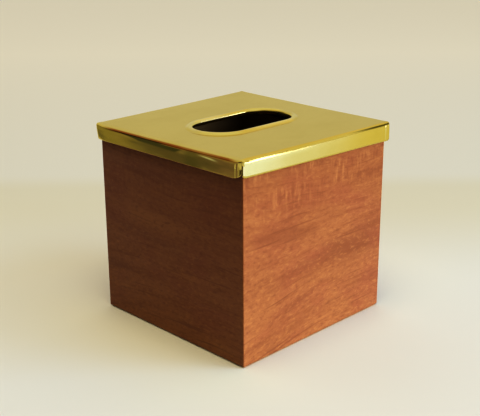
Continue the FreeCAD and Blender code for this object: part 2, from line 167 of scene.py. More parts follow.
# A board's look: the axis along its grain, its seed, how much, towards which end and about which height
# the grain narrows, its tone, and the shares of its ripples, its darker top and its cloud
Board = namedtuple(
    "Board", "along seed flare_share flare_side flare_height tone figure_share top_share cloud_share"
)
# The left board's deeper tone is painted shade for the side that the lights leave dark; the other boards
# share the even tone
EVEN_TONE, SHADED_SIDE_TONE = (1.035, 1.065, 1.025), (0.62, 0.53, 0.35)
BOARDS = {
    "front": Board("X", 1.3, 0.22, 1.0, 75.0 * MM, EVEN_TONE, 0.65, 0.38, 0.5),
    "back": Board("X", 4.1, 0.15, -1.0, 60.0 * MM, EVEN_TONE, 0.5, 0.15, 0.0),
    "left": Board("Y", 2.2, 0.18, -1.0, 80.0 * MM, SHADED_SIDE_TONE, 0.25, 0.4, 0.0),
    "right": Board("Y", 6.7, 0.12, 1.0, 50.0 * MM, EVEN_TONE, 0.4, 0.15, 0.0),
}

# The boards' colours, as linear light
WOOD_COLOURS = {
    "dark": (0.235, 0.083, 0.038),
    "middle": (0.35, 0.15, 0.066),
    "light": (0.44, 0.216, 0.093),
    "red": (0.315, 0.11, 0.06),
}
RAW_WOOD = (0.36, 0.27, 0.17)

# Layers of the grain: features per metre along, across and through it, detail, roughness and warp
GRAIN_LAYERS = {
    "bands": ((7.0, 52.0, 9.0), 3.0, 0.55, 0.0),
    "streaks": ((26.0, 290.0, 40.0), 4.0, 0.65, 0.25),
    "lines": ((16.0, 620.0, 90.0), 2.0, 0.5, 0.0),
    "mottle": ((260.0, 560.0, 240.0), 3.0, 0.65, 0.5),
    "patches": ((20.0, 34.0, 20.0), 2.0, 0.5, 0.0),
    "ripples": ((340.0, 75.0, 60.0), 2.0, 0.55, 0.5),
    "pores": ((240.0, 2600.0, 500.0), 2.0, 0.6, 0.0),
}
LAYER_SEED_SHARES = (3.1, 1.7, 0.9)

# Which colour each layer mixes in, where its noise sets in and is full, and its largest share
GRAIN_MIXES = (
    ("bands", "light", 0.5, 0.72, 0.8),
    ("bands", "dark", 0.46, 0.28, 0.75),
    ("patches", "red", 0.48, 0.7, 0.6),
    ("streaks", "dark", 0.5, 0.3, 0.45),
    ("streaks", "light", 0.55, 0.75, 0.45),
    ("mottle", "dark", 0.5, 0.3, 0.6),
    ("mottle", "light", 0.52, 0.7, 0.6),
    ("lines", "dark", 0.4, 0.27, 0.75),
)

# The slow sway of the grain lines
SWAY_SCALES = (14.0, 14.0, 26.0)
SWAY_DEPTH = 8.0 * MM
# Ripples across the grain, in patches high on the board
FIGURE_SCALES = (30.0, 70.0, 30.0)
FIGURE_SEED_SHARE = 0.6
FIGURE_HEIGHT_SHARES = (0.62, 0.8)
GLINT_SHARE = 0.7
# A soft dark cloud that slants across the front board
CLOUD_MIDDLE = -32.0 * MM
CLOUD_HALF_LENGTH = 40.0 * MM
CLOUD_SLANT = 4.5 * MM
CLOUD_HEIGHT = 81.5 * MM
CLOUD_HALF_HEIGHT = 6.0 * MM
CLOUD_RAGGEDNESS = 1.5
# How far over the inner faces raw wood starts and is full
RAW_DEPTHS = (1.0 * MM, 0.3 * MM)
PORE_SHARE = 0.45
PORE_DEPTH = 0.15 * MM
MOTTLE_SHARE = 0.4


def wall_place(tree, board):
    """Grain coordinates of a board: along it, across the grain, and through it."""
    position = surface_place(tree)
    parts = split(position)
    run = parts[board.along]
    depth = parts["Y" if board.along == "X" else "X"]
    height = maths("SUBTRACT", parts["Z"], board.flare_height)
    end = WOOD_HALF * board.flare_side
    near = maths("POWER", spread(run, end, -end, smooth=False), 2.0)
    across = maths("MULTIPLY", height, maths("MULTIPLY_ADD", near, -board.flare_share, 1.0))
    sway = grain_noise(position, SWAY_SCALES, 1.0, offset=(board.seed, board.seed * 2.0, 0.0))
    across = maths("MULTIPLY_ADD", maths("SUBTRACT", sway, 0.5), SWAY_DEPTH, across)
    place = joined("CombineXYZ", {0: run, 1: across, 2: depth}).outputs[0]
    return place, parts


def rippled(colour, place, parts, ripples, board, shades):
    """Adds short dark bars and light glints across the grain."""
    offset = (board.seed, board.seed * FIGURE_SEED_SHARE, 0.0)
    figured = grain_noise(place, FIGURE_SCALES, 2.0, 0.5, offset)
    high = spread(parts["Z"], *(WOOD_HIGH.z * share for share in FIGURE_HEIGHT_SHARES))
    crossing = product(spread(figured, 0.38, 0.54), high, board.figure_share)
    bars = product(spread(ripples, 0.5, 0.32), crossing)
    glints = product(spread(ripples, 0.52, 0.7, 0.0, GLINT_SHARE), crossing)
    return mixed(glints, mixed(bars, colour, shades["dark"]), shades["light"])


def clouded(colour, parts, bands, board, shades):
    """Adds a soft dark cloud, ragged along the bands of the grain."""
    off_middle = maths("SUBTRACT", parts[board.along], CLOUD_MIDDLE)
    off_middle = maths("DIVIDE", off_middle, CLOUD_HALF_LENGTH)
    slanted = maths("MULTIPLY_ADD", off_middle, CLOUD_SLANT, parts["Z"])
    off_line = maths("DIVIDE", maths("SUBTRACT", slanted, CLOUD_HEIGHT), CLOUD_HALF_HEIGHT)
    off_line = maths("MULTIPLY_ADD", maths("SUBTRACT", bands, 0.5), CLOUD_RAGGEDNESS, off_line)
    reach = maths("MULTIPLY_ADD", off_middle, off_middle, product(off_line, off_line))
    return mixed(spread(reach, 1.1, 0.1, 0.0, board.cloud_share), colour, shades["dark"])


def mahogany(side):
    """Figured red-brown wood under satin lacquer outside, raw and paler inside."""
    board = BOARDS[side]
    made, tree, shader = new_material(f"mahogany_{side}")
    place, parts = wall_place(tree, board)
    shift = [board.seed * share for share in LAYER_SEED_SHARES]
    layers = {}
    for name, (scales, detail, roughness, warp) in GRAIN_LAYERS.items():
        layers[name] = grain_noise(place, scales, detail, roughness, shift, warp)
    shades = {name: tinted(colour, board.tone) for name, colour in WOOD_COLOURS.items()}

    colour = shades["middle"]
    for name, shade, start, full, share in GRAIN_MIXES:
        colour = mixed(spread(layers[name], start, full, 0.0, share), colour, shades[shade])
    top = spread(parts["Z"], WOOD_LOW.z, WOOD_HIGH.z, 0.0, board.top_share, smooth=False)
    colour = mixed(top, colour, shades["dark"])
    colour = rippled(colour, place, parts, layers["ripples"], board, shades)
    if board.cloud_share > 0:
        colour = clouded(colour, parts, layers["bands"], board, shades)
    pits = spread(layers["pores"], 0.4, 0.28, smooth=False)
    colour = mixed(product(pits, PORE_SHARE), colour, shades["dark"])
    outward = maths("ABSOLUTE", parts["Y" if board.along == "X" else "X"])
    raw = spread(outward, *(WOOD_INSIDE + depth for depth in RAW_DEPTHS))
    colour = mixed(raw, colour, RAW_WOOD)

    colour_and_gloss(shader, colour, spread(layers["streaks"], 0.3, 0.7, 0.48, 0.38))
    shader.inputs["Specular IOR Level"].default_value = 0.35
    relief = product(layers["mottle"], MOTTLE_SHARE)
    add_relief(shader, maths("MULTIPLY_ADD", pits, -1.0, relief), 0.25, PORE_DEPTH)
    return made


# Noises of the other materials, in features per metre along X, Y and Z
STRAIGHT_GRAIN = (60.0, 60.0, 900.0)
WOOD_SPECKS = (700.0, 700.0, 2500.0)
SMUDGES = (28.0, 34.0, 34.0)
WIPING_MARKS = (260.0, 2600.0, 900.0)
FINE_MARKS = (1800.0, 1800.0, 1800.0)
DRAWING_MARKS = (900.0, 900.0, 4000.0)
FELT_FIBRES = (2600.0, 1800.0, 2200.0)

# Depths of their relief
SPECK_DEPTH = 0.1 * MM
FINE_DEPTH = 0.02 * MM
FIBRE_DEPTH = 0.2 * MM

# Their colours, as linear light
BRASS, SMUDGED_BRASS = (0.785, 0.645, 0.19), (0.755, 0.615, 0.165)
# The paler rim brass is a painted highlight, and the reddish brown along the left fold is a painted
# reflection
RIM_HIGHLIGHT_BRASS, FOLD_REFLECTION_BRASS = (0.855, 0.765, 0.36), (0.43, 0.165, 0.028)
WIRE_DARK, WIRE_LIGHT = (0.5, 0.49, 0.47), (0.62, 0.61, 0.59)
FELT_DARK, FELT_LIGHT = (0.025, 0.02, 0.018), (0.085, 0.07, 0.06)

# The painted reflection line along the left bend: which slopes of that bend it covers, and how far in it
# starts and is full from the left side, from the near corner and from the far one
FOLD_REFLECTION_SLOPES = ((0.6, 0.82), (0.96, 0.935))
FOLD_REFLECTION_DEPTHS = (6.0 * MM, 5.0 * MM)
FOLD_REFLECTION_NEAR_ENDS = (3.0 * MM, 14.0 * MM)
FOLD_REFLECTION_FAR_ENDS = (6.0 * MM, 22.0 * MM)
# The rim's painted highlight: its reach past the slot's edge, and the slanting line along which it is
# palest
RIM_HIGHLIGHT_REACHES = (5.2 * MM, 3.2 * MM)
RIM_HIGHLIGHT_SLANT = 1.2
RIM_HIGHLIGHT_MIDDLE = -7.0 * MM
RIM_HIGHLIGHT_FADES = (42.0 * MM, 18.0 * MM)
LEAST_RIM_HIGHLIGHT_SHARE = 0.2


def plain_wood(name, colour, dark_colour, rough, seed):
    """Straight-grained wood for the hidden pieces, grain along X and Y alike."""
    made, tree, shader = new_material(name)
    place = surface_place(tree)
    grain = grain_noise(place, STRAIGHT_GRAIN, 4.0, 0.6, (seed, seed, seed))
    speck = grain_noise(place, WOOD_SPECKS, 2.0, 0.6, (seed, 0.0, seed))
    share = maths("MULTIPLY_ADD", speck, 0.4, product(grain, 0.7))
    tint = mixed(spread(share, 0.35, 0.75), dark_colour, colour)
    colour_and_gloss(shader, tint, spread(grain, 0.3, 0.7, rough, rough + 0.15))
    add_relief(shader, speck, 0.3, SPECK_DEPTH)
    return made


def painted_fold_reflection(tree, parts):
    """Where the painted reflection line runs along the bend of the lid's left side, fading towards both
    corners.
    """
    slope = split(add_node(tree, "TexCoord").outputs["Normal"])
    leftward = maths("MULTIPLY", slope["X"], -1.0)
    return product(
        *(spread(leftward, start, full) for start, full in FOLD_REFLECTION_SLOPES),
        spread(parts["X"], *(depth - LID_HALF for depth in FOLD_REFLECTION_DEPTHS)),
        spread(parts["Y"], *(end - LID_HALF for end in FOLD_REFLECTION_NEAR_ENDS)),
        spread(parts["Y"], *(LID_HALF - end for end in FOLD_REFLECTION_FAR_ENDS)),
    )


def painted_rim_highlight(parts):
    """Where the slot's rim gets its painted highlight, palest along a slanting line."""
    past_straight = maths("SUBTRACT", maths("ABSOLUTE", parts["X"]), SLOT_HALF_STRAIGHT)
    past_straight = maths("MAXIMUM", past_straight, 0.0)
    off_line = joined("CombineXYZ", {0: past_straight, 1: parts["Y"]}).outputs[0]
    off_line = joined("VectorMath", {0: off_line}, operation="LENGTH").outputs["Value"]
    rim = spread(off_line, *(SLOT_RADIUS + reach for reach in RIM_HIGHLIGHT_REACHES))
    slanted = maths("MULTIPLY_ADD", parts["Y"], RIM_HIGHLIGHT_SLANT, parts["X"])
    palest = spread(distance_from(slanted, RIM_HIGHLIGHT_MIDDLE), *RIM_HIGHLIGHT_FADES, LEAST_RIM_HIGHLIGHT_SHARE, 1.0)
    return product(rim, palest)


def brass():
    """Polished, lacquered brass: faint smudges, wiping marks, a painted highlight on the rim and a
    painted reflection line along the left fold.
    """
    made, tree, shader = new_material("brass")
    place = surface_place(tree)
    parts = split(place)
    smudge = grain_noise(place, SMUDGES, 3.0, 0.6)
    wiping = grain_noise(place, WIPING_MARKS, 2.0, 0.6, warp=0.4)
    fine = grain_noise(place, FINE_MARKS, 2.0, 0.6)
    tint = mixed(spread(smudge, 0.35, 0.7), BRASS, SMUDGED_BRASS)
    # A painted highlight: paler brass over the rim, palest along a slanting line
    tint = mixed(painted_rim_highlight(parts), tint, RIM_HIGHLIGHT_BRASS)
    # A painted reflection: a reddish-brown line along the left fold, patchy with the smudges
    reflection_line = product(painted_fold_reflection(tree, parts), spread(smudge, 0.25, 0.6, 0.75, 1.0))
    tint = mixed(reflection_line, tint, FOLD_REFLECTION_BRASS)
    worn = maths("MULTIPLY_ADD", wiping, 0.03, spread(smudge, 0.3, 0.75, 0.07, 0.11))
    colour_and_gloss(shader, tint, worn)
    shader.inputs["Metallic"].default_value = 1.0
    add_relief(shader, fine, 0.04, FINE_DEPTH)
    return made


def steel():
    """Bright drawn wire of the panel pins."""
    made, tree, shader = new_material("pin_steel")
    marks = grain_noise(surface_place(tree), DRAWING_MARKS, 2.0, 0.6)
    tint = mixed(marks, WIRE_DARK, WIRE_LIGHT)
    colour_and_gloss(shader, tint, spread(marks, 0.3, 0.7, 0.25, 0.42))
    shader.inputs["Metallic"].default_value = 1.0
    return made


def felt():
    """Dark pressed felt with short loose fibres."""
    made, tree, shader = new_material("felt")
    fibres = grain_noise(surface_place(tree), FELT_FIBRES, 4.0, 0.7, warp=1.2)
    tint = mixed(spread(fibres, 0.35, 0.7), FELT_DARK, FELT_LIGHT)
    tree.links.new(tint, shader.inputs["Base Color"])
    shader.inputs["Roughness"].default_value = 0.95
    shader.inputs["Sheen Weight"].default_value = 0.4
    add_relief(shader, fibres, 0.8, FIBRE_DEPTH)
    return made


def add_object(name, data):
    """Puts a new object into the scene."""
    made = bpy.data.objects.new(name, data)
    bpy.context.scene.collection.objects.link(made)
    return made


def wear(node, material):
    """Gives a carried-over CAD solid its finish."""
    slots = NODES[node].data.materials
    slots.clear()
    slots.append(material)


def new_piece(name, points, faces, material, sharp_angle):
    """A smooth-shaded mesh object with sharp edges above an angle."""
    mesh = bpy.data.meshes.new(name)
    mesh.from_pydata([tuple(p) for p in points], [], faces)
    mesh.validate()
    mesh.shade_smooth()
    mesh.set_sharp_from_angle(angle=math.radians(sharp_angle))
    mesh.materials.append(material)
    return add_object(name, mesh)


# How finely the lid is divided: its rim, fillet, bend, tail, straight drop and rounded sheet ends
RIM_STEPS = 14
FILLET_STEPS = 5
BEND_STEPS = 10
TAIL_STEPS = 7
DROP_STEPS = 5
EDGE_STEPS = 5
# its flat top, as shares of the way from the rim to the bend
FLAT_SHARES = (0.02, 0.12, 0.35, 0.6, 0.85, 0.97, 0.99)
# and its sides, closer together towards the corners
SIDE_STEPS = 56
CORNER_STEPS = 40
CORNER_REACH = 14.0 * MM
CORNER_CROWDING = 1.35
# The corner seams start this many rows above the end of the bend
SEAM_ROWS = 3
LID_SHARP_ANGLE = 50

# The rolled rim: where its lip starts, and its lift at the back and, as a share, its dip in front
ROLL_START = math.radians(-55)
RIM_LIFT = 0.5 * MM
RIM_DIP_SHARE = 0.3

# The lid's place in its play, how much further it reaches at its right, near corner, and its sag
LID_SHIFT = (-0.6 * MM, 0.45 * MM)
RIGHT_STRETCH = 1.9 * MM
SAG = 0.45 * MM
# How far its corners stand above or below one plane, and slight waves of the sheet
WARP = {"near": 1.0 * MM, "left": -0.65 * MM, "right": -0.95 * MM, "far": 0.3 * MM}
WAVE_DEPTH = 0.05 * MM
WAVE_RATE = 22

# Each folded side from the front one on, anticlockwise: the radius of its bend and how much wider that
# gets near the corners,
SIDE_BENDS = ((2.3 * MM, 0.7 * MM), (2.0 * MM, 0.8 * MM), (2.0 * MM, 0.8 * MM), (3.8 * MM, 0.2 * MM))
# how much deeper it hangs at its start and its end
SIDE_DROPS = ((-0.3 * MM, 1.1 * MM), (0.2 * MM, 0.8 * MM), (0.6 * MM, 0.1 * MM), (-0.75 * MM, 0.6 * MM))
# and how long the rounding of its lower end is there
SIDE_ROUNDINGS = ((3.4 * MM, 3.0 * MM), (3.0 * MM, 4.0 * MM), (3.5 * MM, 4.5 * MM), (4.5 * MM, 10.0 * MM))
# and how far its foot leans inwards there
SIDE_LEANS = ((0.0, 0.0), (0.0, 0.0), (0.0, 1.1 * MM), (1.1 * MM, 0.0))
LEAN_REACH = 9.0 * MM
# A rounding is this high, and by this slope higher the longer it is
ROUNDING_HEIGHT = 1.2 * MM
ROUNDING_SLOPE = 0.32

# The bend's common radius, how it wanders, and where it widens
BEND_RADIUS = 2.0 * MM
BEND_WANDER = 0.25 * MM
SWELL_START = 6.0 * MM
SWELL_REACH = 16.0 * MM
# Below the bend the edge runs out into the straight: the angle left, in degrees, and the length
TAIL_ANGLE, TAIL_WANDER = 6, 1.5
TAIL_LENGTH, TAIL_GROWTH = 3.0 * MM, 2.5 * MM
# Dents, and ripples near the corner at each side's end
DENT_DEPTH = 0.05 * MM
RIPPLE_DEPTH = 0.08 * MM
RIPPLE_LENGTH = 3.6 * MM
RIPPLE_REACH = 7.0 * MM
RIPPLE_SHARES = (0.4, 0.6)
# Noises along the sides: step from side to side, waves per metre, and seed
WANDER_NOISE = (7.3, 30, 0.5)
DENT_NOISE = (3.7, 42, 2.5)


def side_stops():
    """Distances along one side of the lid, from the middle of a corner to the middle of the next."""
    length = 2 * (LID_HALF - CORNER_RADIUS) + 2 * HALF_ARC
    near_end = [CORNER_REACH * (k / CORNER_STEPS) ** CORNER_CROWDING for k in range(CORNER_STEPS)]
    middle = np.linspace(CORNER_REACH, length - CORNER_REACH, SIDE_STEPS)
    far_end = [length - s for s in reversed(near_end)]
    return [*near_end, *middle, *far_end], length


def side_point(distance, length):
    """Place and outward direction on the front side's plan, seen as running from -X to +X."""
    share = distance / length
    arc_share = HALF_ARC / length
    straight = LID_HALF - CORNER_RADIUS
    if share < arc_share:
        turn = -math.pi / 4 * (1 - share / arc_share)
        centre = -straight
    elif share > 1 - arc_share:
        turn = math.pi / 4 * (share - 1 + arc_share) / arc_share
        centre = straight
    else:
        turn = 0.0
        centre = straight * (2 * (share - arc_share) / (1 - 2 * arc_share) - 1)
    outward = (math.sin(turn), -math.cos(turn))
    return (centre + CORNER_RADIUS * outward[0], -straight + CORNER_RADIUS * outward[1]), outward


def quarter_turned(place, side):
    """A plan place or direction turned by a quarter for each side."""
    x, y = place
    for _ in range(side):
        x, y = -y, x
    return x, y


def slot_point(place):
    """Slot edge and outward direction in line with a place on the lid's outline."""
    both = BEAD_RADIUS + FILLET_RADIUS
    toe = math.sqrt(both**2 - (both - RIM_HEIGHT) ** 2)
    reach = SLOT_RADIUS + BEAD_RADIUS + toe
    x, y = place
    size = math.hypot(x, y)
    x, y = x / size, y / size
    if abs(y) > 0 and abs(x / y) * reach <= SLOT_HALF_STRAIGHT:
        spot = (x / abs(y) * reach, math.copysign(reach, y))
        outward = (0.0, math.copysign(1.0, y))
    else:
        middle = math.copysign(SLOT_HALF_STRAIGHT, x)
        along = x * middle
        travel = along + math.sqrt(along**2 - middle**2 + reach**2)
        spot = (x * travel, y * travel)
        outward = ((spot[0] - middle) / reach, spot[1] / reach)
    edge = (spot[0] - outward[0] * (reach - SLOT_RADIUS), spot[1] - outward[1] * (reach - SLOT_RADIUS))
    return edge, outward


def rim_profile():
    """The rolled rim from the inside: distance out of the slot's edge, height, and its normal."""
    centre_height = LID_HIGH.z - BEAD_RADIUS
    fillet_height = LID_TOP + FILLET_RADIUS
    rise = fillet_height - centre_height
    across = math.sqrt((BEAD_RADIUS + FILLET_RADIUS) ** 2 - rise**2)
    meet = math.atan2(rise, across)
    rows = []
    for k in range(RIM_STEPS + 1):
        turn = ROLL_START + (math.pi - meet - ROLL_START) * k / RIM_STEPS
        normal = (-math.cos(turn), math.sin(turn))
        out = BEAD_RADIUS + BEAD_RADIUS * normal[0]
        rows.append((out, centre_height + BEAD_RADIUS * normal[1], *normal))
    for k in range(1, FILLET_STEPS + 1):
        turn = math.pi + meet + (math.pi / 2 - meet) * k / FILLET_STEPS
        normal = (-math.cos(turn), -math.sin(turn))
        out = BEAD_RADIUS + across - FILLET_RADIUS * normal[0]
        rows.append((out, fillet_height - FILLET_RADIUS * normal[1], *normal))
    return rows


def edge_profile(bend_radius, tail_angle, tail_length, bottom, shift, lean):
    """The folded edge from the flat top to its bottom: distance out, height, and its normal."""
    rows = [(0.0, LID_TOP, math.pi / 2)]

    def bend_on(slope, step):
        """Adds the row one step on, at a new slope."""
        last_out, last_height, last_slope = rows[-1]
        middle = (last_slope + slope) / 2
        rows.append((last_out + step * math.sin(middle), last_height - step * math.cos(middle), slope))

    bend_step = bend_radius * (math.pi / 2 - tail_angle) / BEND_STEPS
    for k in range(1, BEND_STEPS + 1):
        bend_on(math.pi / 2 + (tail_angle - math.pi / 2) * k / BEND_STEPS, bend_step)
    for k in range(1, TAIL_STEPS + 1):
        bend_on(tail_angle * (1 - k / TAIL_STEPS), tail_length / TAIL_STEPS)
    foot_out, foot_height, _ = rows[-1]
    for k in range(1, DROP_STEPS + 1):
        rows.append((foot_out, foot_height + (bottom - foot_height) * k / DROP_STEPS, 0.0))
    leaning = []
    for out, height, slope in rows:
        inwards = foot_out - shift + lean * (LID_TOP - height) / (LID_TOP - bottom)
        leaning.append((out - inwards, height, math.cos(slope), math.sin(slope)))
    return leaning


def lid_warp(x, y):
    """How far the handmade sheet stands above or below one plane."""
    east, north = (x / LID_HALF + 1) / 2, (y / LID_HALF + 1) / 2
    lift = (
        WARP["near"] * (1 - east) * (1 - north)
        + WARP["left"] * (1 - east) * north
        + WARP["right"] * east * (1 - north)
        + WARP["far"] * east * north
    )
    across, along = 4 * east * (1 - east), 4 * north * (1 - north)
    lift -= SAG * (across + along - across * along)
    return lift + WAVE_DEPTH * noise.noise(Vector((x, y, 0.0)) * WAVE_RATE)


def share_between(value, low, high):
    """How far a value is from low to high, from 0 to 1."""
    return min(max((value - low) / (high - low), 0.0), 1.0)


def side_noise(side, distance, settings):
    """A smooth uneven value along a side, from about -1 to 1."""
    stride, rate, seed = settings
    return noise.noise(Vector((side * stride, distance * rate, seed)))


def edge_shape(side, distance, length):
    """The folded edge's own bend, tail, bottom, dents and lean at one place along a side."""
    to_corner = min(distance, length - distance)
    share = distance / length
    wander = side_noise(side, distance, WANDER_NOISE)

    side_bend, side_swell = SIDE_BENDS[side]
    swell = side_bend - BEND_RADIUS + side_swell * math.exp(-to_corner / SWELL_REACH)
    bend = BEND_RADIUS + swell * min(to_corner / SWELL_START, 1.0) + BEND_WANDER * wander
    tail_angle = math.radians(TAIL_ANGLE + TAIL_WANDER * wander)
    tail_length = TAIL_LENGTH + TAIL_GROWTH * share

    start_drop, end_drop = SIDE_DROPS[side]
    bottom = LID_LOW.z - start_drop * (1 - share) - end_drop * share + SAG * 4 * share * (1 - share)
    rounding = SIDE_ROUNDINGS[side][round(share)]
    room = 1 - share_between(to_corner, SEAM_GAP / 2, rounding)
    bottom += (ROUNDING_HEIGHT + ROUNDING_SLOPE * rounding) * (1 - math.sqrt(1 - room**2))

    dents = DENT_DEPTH * side_noise(side, distance, DENT_NOISE)
    fade = math.exp(-((to_corner / RIPPLE_REACH) ** 2)) * share_between(share, *RIPPLE_SHARES)
    dents += RIPPLE_DEPTH * fade * math.sin(2 * math.pi * to_corner / RIPPLE_LENGTH + side)
    lean = SIDE_LEANS[side][round(share)] * math.exp(-((to_corner / LEAN_REACH) ** 2))
    return bend, tail_angle, tail_length, bottom, dents, lean


def half_round(first, last, start, over):
    """Points of a half-circle between two points, from its start direction over its top."""
    centre = (first + last) / 2
    turns = [math.pi * k / EDGE_STEPS for k in range(1, EDGE_STEPS)]
    return np.array([centre + start * math.cos(turn) + over * math.sin(turn) for turn in turns])


def rim_rows(slot_edge, slot_out):
    """Places and normals over the rim at one place round the slot."""
    lift = RIM_LIFT * slot_out[1] * (1.0 if slot_out[1] > 0 else RIM_DIP_SHARE)
    profile = rim_profile()
    places, normals = [], []
    for k, (out, height, normal_out, normal_up) in enumerate(profile):
        risen = height + lift * (1 - k / (len(profile) - 1))
        places.append((slot_edge[0] + slot_out[0] * out, slot_edge[1] + slot_out[1] * out, risen))
        normals.append((slot_out[0] * normal_out, slot_out[1] * normal_out, normal_up))
    return places, normals


def edge_rows(profile, place, outward, gap_shift):
    """Places and normals down the folded edge, drawn back from the seam below its top."""
    places, normals = [], []
    for out, height, normal_out, normal_up in profile:
        slide = gap_shift if height < LID_TOP - SEAM_TOP else 0.0
        x = place[0] + outward[0] * out - outward[1] * slide
        y = place[1] + outward[1] * out + outward[0] * slide
        places.append((x, y, height))
        normals.append((outward[0] * normal_out, outward[1] * normal_out, normal_up))
    return places, normals


def lid_column(side, distance, length, gap_shift):
    """The lid's closed section at one place along a side: outside, foot, inside and lip."""
    place, outward = side_point(distance, length)
    place, outward = quarter_turned(place, side), quarter_turned(outward, side)
    slot_edge, slot_out = slot_point(place)
    stretch = RIGHT_STRETCH * max(place[0], 0.0) / LID_HALF * (1 - place[1] / LID_HALF) / 2
    place = (place[0] + LID_SHIFT[0] + stretch, place[1] + LID_SHIFT[1])
    bend, tail_angle, tail_length, bottom, dents, lean = edge_shape(side, distance, length)
    profile = edge_profile(bend, tail_angle, tail_length, bottom + SHEET / 2, dents, lean)

    outer, normals = rim_rows(slot_edge, slot_out)
    toe = outer[-1]
    bend_out = profile[0][0]
    bend_start = (place[0] + outward[0] * bend_out, place[1] + outward[1] * bend_out)
    for share in FLAT_SHARES:
        x, y = (toe[k] + (bend_start[k] - toe[k]) * share for k in range(2))
        outer.append((x, y, LID_TOP))
        normals.append((0.0, 0.0, 1.0))
    edge, edge_normals = edge_rows(profile, place, outward, gap_shift)

    outer = np.array(outer + edge)
    normals = np.array(normals + edge_normals)
    inner = outer - normals * SHEET
    downward = np.array((0.0, 0.0, -SHEET / 2))
    foot = half_round(outer[-1], inner[-1], normals[-1] * SHEET / 2, downward)
    ahead = outer[0] - outer[1]
    ahead = ahead / np.linalg.norm(ahead)
    lip = half_round(outer[0], inner[0], -normals[0] * SHEET / 2, ahead * SHEET / 2)
    return np.concatenate((outer, foot, inner[::-1], lip))


def lid_columns():
    """The lid's sections all the way round, and how many there are to a side."""
    stops, length = side_stops()
    columns = []
    for side in range(4):
        for k, distance in enumerate(stops):
            first, last = k == 0, k == len(stops) - 1
            gap_shift = SEAM_GAP / 2 if first else -SEAM_GAP / 2 if last else 0.0
            columns.append(lid_column(side, distance, length, gap_shift))
    return columns, len(stops)


def lid_faces(total, rows, per_side):
    """Faces from section to section, open below each corner's seam, where the cut ends are closed."""
    flat_end = RIM_STEPS + 1 + FILLET_STEPS + len(FLAT_SHARES)
    outer_rows = flat_end + 1 + BEND_STEPS + TAIL_STEPS + DROP_STEPS
    seam_row = flat_end + BEND_STEPS - SEAM_ROWS
    inner_first = outer_rows + EDGE_STEPS - 1

    def partner(row):
        """The inner row that faces an outer one."""
        return inner_first + outer_rows - 1 - row

    faces = []
    for column in range(total):
        here, there = column * rows, (column + 1) % total * rows
        at_seam = column % per_side == per_side - 1
        for row in range(rows):
            if at_seam and seam_row <= row < partner(seam_row):
                continue
            below = (row + 1) % rows
            faces.append((here + below, there + below, there + row, here + row))
        if not at_seam:
            continue
        for base, flip in ((here, True), (there, False)):
            caps = []
            for row in range(seam_row, outer_rows - 1):
                caps.append([base + row, base + row + 1, base + partner(row + 1), base + partner(row)])
            caps.append([base + row for row in range(outer_rows - 1, inner_first + 1)])
            faces += [tuple(reversed(cap)) if flip else tuple(cap) for cap in caps]
        under = partner(seam_row)
        faces.append((here + under, there + under, there + seam_row, here + seam_row))
    return faces


def build_lid(material):
    """The whole lid: one closed section carried round, slit at the four corners."""
    columns, per_side = lid_columns()
    points = np.concatenate(columns)
    for point in points:
        point[2] += lid_warp(point[0], point[1])
    faces = lid_faces(len(columns), len(columns[0]), per_side)
    piece = new_piece("brass_lid", points, faces, material, LID_SHARP_ANGLE)
    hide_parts("lid_sheet")
    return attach(piece, "lid")


# Felt discs: steps round them, the rings of their flat faces and the rounding of their edge as shares
# of the size, steps of that rounding, and how ragged the edge is
FELT_STEPS = 48
FELT_RING_SHARES = (0.3, 0.6, 0.85)
FELT_ROUNDING_SHARE = 0.3
FELT_ROUNDING_STEPS = 4
FELT_RAGGED_SHARE = 0.012
FELT_RAGGED_RATE = 1500
FELT_SHARP_ANGLE = 60


def felt_section(radius, height):
    """Half the disc's section, from near its middle below, round its edge, to near its middle above."""
    rounding = min(height, radius) * FELT_ROUNDING_SHARE
    section = [(radius * share, 0.0) for share in FELT_RING_SHARES]
    for k in range(FELT_ROUNDING_STEPS + 1):
        turn = math.pi / 2 * k / FELT_ROUNDING_STEPS
        out = radius - rounding + rounding * math.sin(turn)
        section.append((out, rounding - rounding * math.cos(turn)))
    return section + [(out, height - up) for out, up in reversed(section)]


def felt_disc(name, node, body, material, thickness_share=1.0):
    """A pressed felt disc with a soft, slightly uneven edge."""
    low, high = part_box(node)
    middle = (low + high) / 2
    height = (high.z - low.z) * thickness_share
    section = felt_section((high.x - low.x) / 2, height)
    points, faces = [(middle.x, middle.y, low.z)], []
    for out, up in section:
        for step in range(FELT_STEPS):
            turn = 2 * math.pi * step / FELT_STEPS
            east, north = out * math.cos(turn), out * math.sin(turn)
            spot = Vector((middle.x + east, middle.y + north, low.z + up))
            ragged = 1 + FELT_RAGGED_SHARE * noise.noise(spot * FELT_RAGGED_RATE)
            points.append((middle.x + east * ragged, middle.y + north * ragged, spot.z))
    points.append((middle.x, middle.y, low.z + height))
    last = len(points) - 1
    top = 1 + (len(section) - 1) * FELT_STEPS
    for here in range(1, top, FELT_STEPS):
        there = here + FELT_STEPS
        for step in range(FELT_STEPS):
            after = (step + 1) % FELT_STEPS
            faces.append((here + step, here + after, there + after, there + step))
    for step in range(FELT_STEPS):
        after = (step + 1) % FELT_STEPS
        faces.append((0, 1 + after, 1 + step))
        faces.append((last, top + step, top + after))
    piece = new_piece(name, points, faces, material, FELT_SHARP_ANGLE)
    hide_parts(node)
    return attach(piece, body)


# The photograph's camera: its place in metres, its lens in millimetres and its angles in degrees
CAMERA_PLACE = (-0.4558, -0.4562, 0.2956)
LENS, SENSOR = 71.33, 36.0
YAW, PITCH, ROLL = 44.77, 18.83, -0.27


